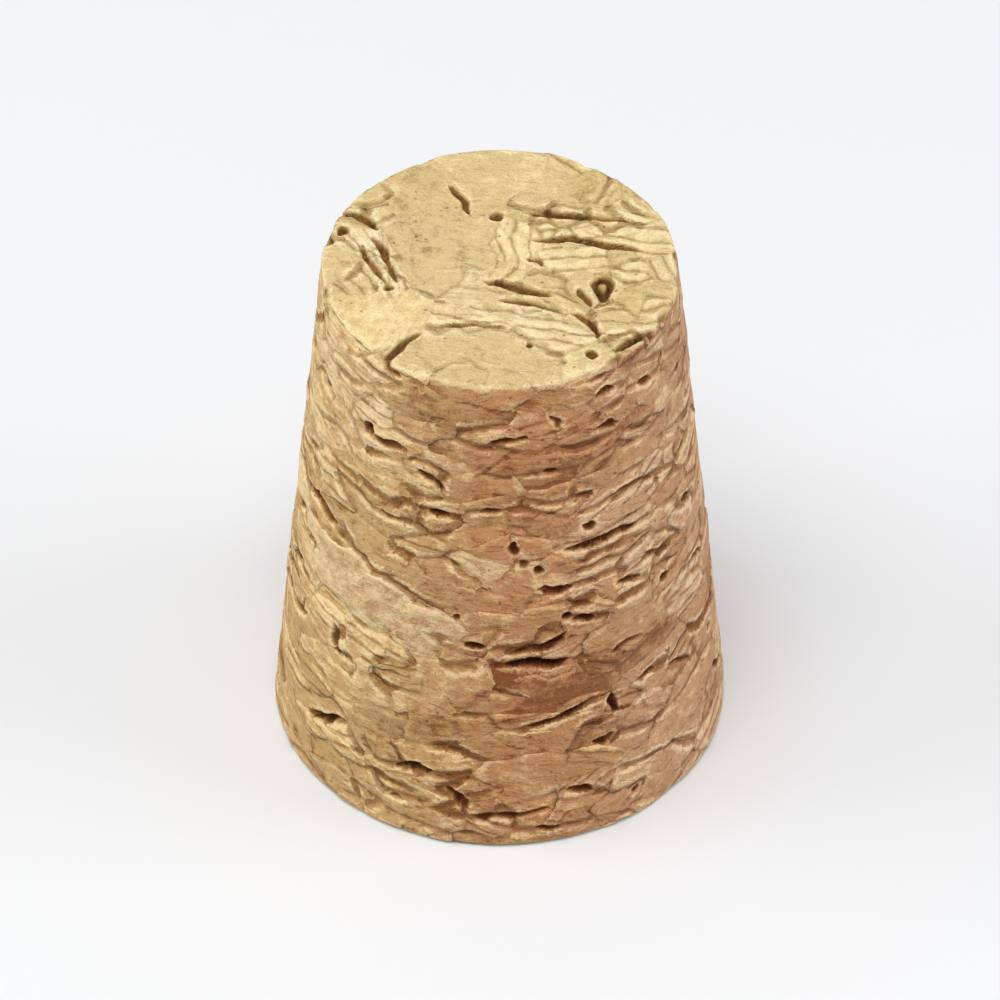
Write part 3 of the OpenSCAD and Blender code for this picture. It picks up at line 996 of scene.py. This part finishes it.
def cork_material():
    """Ground agglomerated cork: toned granules with growth lines, dark seams and gaps."""
    material = bpy.data.materials.new("ground_cork")
    g = Graph(material)
    place = g.scaled(g.node("TexCoord").outputs["Object"], 1 / MM)

    # The granule that a place is in, and what its code tells of it
    fret = g.node("TexNoise", {"Vector": place, "Scale": 2.6, "Detail": 2.0}).outputs["Color"]
    fret = g.scaled(g.vector("SUBTRACT", fret, (0.5, 0.5, 0.5)), 0.4)
    here = g.vector("ADD", g.attribute("seam_place").outputs["Vector"], fret)
    granule = granule_here(g, here)
    own, code, other, other_code, away = granule
    lined = g.maths("GREATER_THAN", code, LINED)
    tone = g.times_add(lined, -LINED, g.maths("FLOOR", code))
    tone = g.maths("DIVIDE", tone, TONES)
    turn = g.times(g.fraction(code), math.pi)

    # The two cut ends are paler than the ground side.
    from_middle = g.maths("ABSOLUTE", g.minus(g.number("plain_height"), HEIGHT / 2))
    on_end = g.ramp(from_middle, HEIGHT / 2 - END_FROM, HEIGHT / 2 - END_PALE)
    cut_end = g.maths("GREATER_THAN", from_middle, HEIGHT / 2 - CUT_END)

    grain, across = grain_here(g, place, turn, cut_end)
    mottle = g.noise(place, 1.3, 2.0, 0.6)
    fine = g.noise(place, 5.5, 2.0, 0.6)
    cells = g.noise(place, 11.0, 1.0)
    patch = g.noise(place, 0.3, 1.0)
    streaked = g.vector("ADD", g.scaled(place, 0.75), g.scaled(grain, g.times(across, 2.2)))
    streaks = g.noise(streaked, 1.0, 3.0, 0.62, 0.4)
    # A large granule is smoother in its middle.
    streaks = g.mix(g.ramp(away, 0.35, 1.1, 0.0, 0.55), streaks, 0.5)
    cycle = growth_lines(g, across, code, streaks, mottle, patch)
    growth = g.times(g.ramp(cycle, 0.35, 0.85), g.ramp(mottle, 0.80, 0.58))
    growth = g.times(growth, g.times_add(lined, 0.9, 0.1))
    fleck = g.times(g.ramp(streaks, 0.38, 0.30), g.times_add(on_end, -0.6, 1.0))

    open_share, seam, seam_lip_highlight = seam_parts(g, granule, on_end, fine, mottle)
    own_level, other_level = (
        slanted_level(g, here, *which) for which in ((own, code), (other, other_code)))
    above = g.minus(own_level, other_level)
    # Painted highlight on a raised granule's edge, partly frayed cork, and painted shade on the
    # edge of the lower one.
    edge_highlight, edge_shade = lit_and_shaded_edges(g, above, away, streaks, on_end)
    # The share of the cork round a place that lies in a gap; the cork is darker where this share is
    # high.
    gap_share = g.times_add(g.minus(fine, 0.5), 0.3, g.number("near_gap_share"))
    # The cork just round a gap is painted pale: a painted highlight on its lip, partly frayed cork.
    gap_lip_highlight = g.times(g.ramp(gap_share, 0.02, 0.14), g.ramp(gap_share, 0.34, 0.2))
    pore = pores(g, g.vector("ADD", place, g.scaled(fret, 0.5)))

    # Each granule has its tone, streaked and mottled within. Its raised edges and the lips of open
    # seams and gaps are painted pale as painted highlights, partly pale frayed cork, and its edge
    # below a step is painted dark as painted shade.
    spread = g.times_add(on_end, -0.35, 1.0)
    value = g.times_add(g.minus(tone, 0.5), spread, 0.5)
    for noise, weight in ((streaks, 0.6), (mottle, 0.9), (fine, 0.36), (patch, 0.5)):
        value = g.times_add(g.minus(noise, 0.5), weight, value)
    between = g.times(lined, g.ramp(cycle, 0.0, -0.5))
    for pale, weight in ((seam_lip_highlight, 0.52), (edge_highlight, 0.28), (gap_lip_highlight, 0.25), (edge_shade, -0.28),
                         (between, 0.12)):
        value = g.times_add(pale, weight, value)
    colour = cork_colour(g, place, value, code, on_end, mottle, cells)

    # Growth lines, flecks, pits and seams are the same cork, darker and browner. The cork at and
    # round a gap's edge is darker too, and the gaps themselves are painted with shade that grows
    # with their depth.
    # Painted shade in the gaps, deeper where the gaps are deeper.
    gap = g.ramp(g.number("gap_depth"), 0.06, 0.3)
    for dark, most, tint in (
        (growth, 0.7, LINE_TINT), (fleck, 0.4, LINE_TINT), (pore, 0.8, LINE_TINT),
        (seam, 1.0, LINE_TINT), (g.ramp(gap_share, 0.3, 0.7), 0.6, LINE_TINT), (gap, 1.0, GAP_SHADE_TINT),
    ):
        colour = g.mix_colour(g.times(dark, most), colour, tint, "MULTIPLY")

    # Granules stand a little above or below one another, rounded down to their seams.
    meeting = g.times(g.maths("ADD", own_level, other_level), 0.5)
    raised = g.mix(g.ramp(away, 0.0, 0.16), meeting, own_level)
    pillow = g.times_add(open_share, 0.16, 0.04)
    raised = g.times_add(g.ramp(away, 0.0, 0.5), pillow, raised)
    raised = g.times(raised, g.times_add(on_end, END_SHARE - 1, 1.0))
    for height_part, weight in ((seam, -0.08), (mottle, 0.28), (streaks, 0.22), (fine, 0.06),
                                (cells, 0.03), (growth, -0.05), (fleck, -0.05)):
        raised = g.times_add(height_part, weight, raised)
    g.finish("BsdfPrincipled", {
        "Base Color": colour, "Roughness": g.ramp(fine, 0.2, 0.8, 0.75, 0.95),
        "Normal": g.node("Bump", {"Distance": MM, "Height": raised}).outputs[0],
        "Specular IOR Level": 0.25,
    })
    return material


# ------------------------ floor, lamps and camera

FLOOR_SIZE = 3.0
FLOOR_SEEN, FLOOR_REAL = (0.825, 0.84, 0.86, 1), (0.62, 0.63, 0.65, 1)


def floor_material():
    """Pale, and paler still where it is seen than where it throws light back."""
    material = bpy.data.materials.new("pale_floor")
    g = Graph(material)
    path = g.node("LightPath").outputs
    seen = g.maths("MAXIMUM", path["Is Camera Ray"], path["Is Glossy Ray"])
    seen = g.maths("MAXIMUM", seen, path["Is Transmission Ray"])
    g.finish("BsdfDiffuse", {"Color": g.mix_colour(seen, FLOOR_REAL, FLOOR_SEEN)})
    return material


def make_floor():
    """A plain pale floor, which is only stage."""
    bm = bmesh.new()
    bmesh.ops.create_grid(bm, x_segments=1, y_segments=1, size=FLOOR_SIZE / 2)
    floor = mesh_object("floor", bm)
    floor.data.materials.append(floor_material())


# The soft lamps, as (name, place in metres, power in watts)
LAMPS = [
    ("overhead", (-0.05, -0.13, 0.48), 1.34),
    ("left", (-0.45, -0.02, 0.24), 0.88),
    ("right", (0.45, -0.05, 0.22), 0.85),
]
LAMP_SIZE, LAMP_COLOUR = 0.30, (1, 0.99, 0.97)
WORLD_STRENGTH, WORLD_COLOUR = 0.40, (0.98, 0.99, 1.02, 1)


def make_lamp(name, place, power):
    """A square soft lamp that faces the stopper's middle."""
    data = bpy.data.lights.new(name, "AREA")
    data.size, data.energy, data.color = LAMP_SIZE, power, LAMP_COLOUR
    lamp = scene_object(name, data)
    lamp.location = place
    target = Vector((0, 0, HEIGHT * MM / 2))
    lamp.rotation_euler = (target - lamp.location).to_track_quat("-Z", "Y").to_euler()


def make_world():
    """Even light from all round."""
    world = bpy.data.worlds.new("soft_room")
    world.use_nodes = True
    inputs = world.node_tree.nodes["Background"].inputs
    inputs["Color"].default_value = WORLD_COLOUR
    inputs["Strength"].default_value = WORLD_STRENGTH
    bpy.context.scene.world = world


CAMERA_RISE = 44.2     # degrees above the floor
CAMERA_RANGE = 0.340   # metres from what it is aimed at
CAMERA_FILL = 0.70     # share of the frame's height that the stopper takes
AIM_HEIGHT = 13.6
SENSOR_WIDTH = 36.0
NEAREST_SEEN = 0.01    # metres


def make_camera():
    """The camera, ahead of the front and above, aimed at the stopper."""
    data = bpy.data.cameras.new("camera")
    camera = scene_object("camera", data)
    rise = math.radians(CAMERA_RISE)
    back = Vector((0, -math.cos(rise), math.sin(rise)))
    camera.location = Vector((0, 0, AIM_HEIGHT * MM)) + back * CAMERA_RANGE
    camera.rotation_euler = (-back).to_track_quat("-Z", "Y").to_euler()
    seen = (HEIGHT * math.cos(rise) + (WIDE_R + NARROW_R) * math.sin(rise)) * MM
    data.sensor_width = SENSOR_WIDTH
    data.lens = SENSOR_WIDTH * CAMERA_RANGE * CAMERA_FILL / seen
    data.clip_start = NEAREST_SEEN
    bpy.context.scene.camera = camera


# ------------------------ the scene

make_camera()
make_floor()
make_world()
for lamp in LAMPS:
    make_lamp(*lamp)

stopper = cork_skin()
stopper.data.materials.append(cork_material())
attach(stopper, "root")
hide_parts(NODE)

bpy.context.scene.view_settings.view_transform = "Standard"
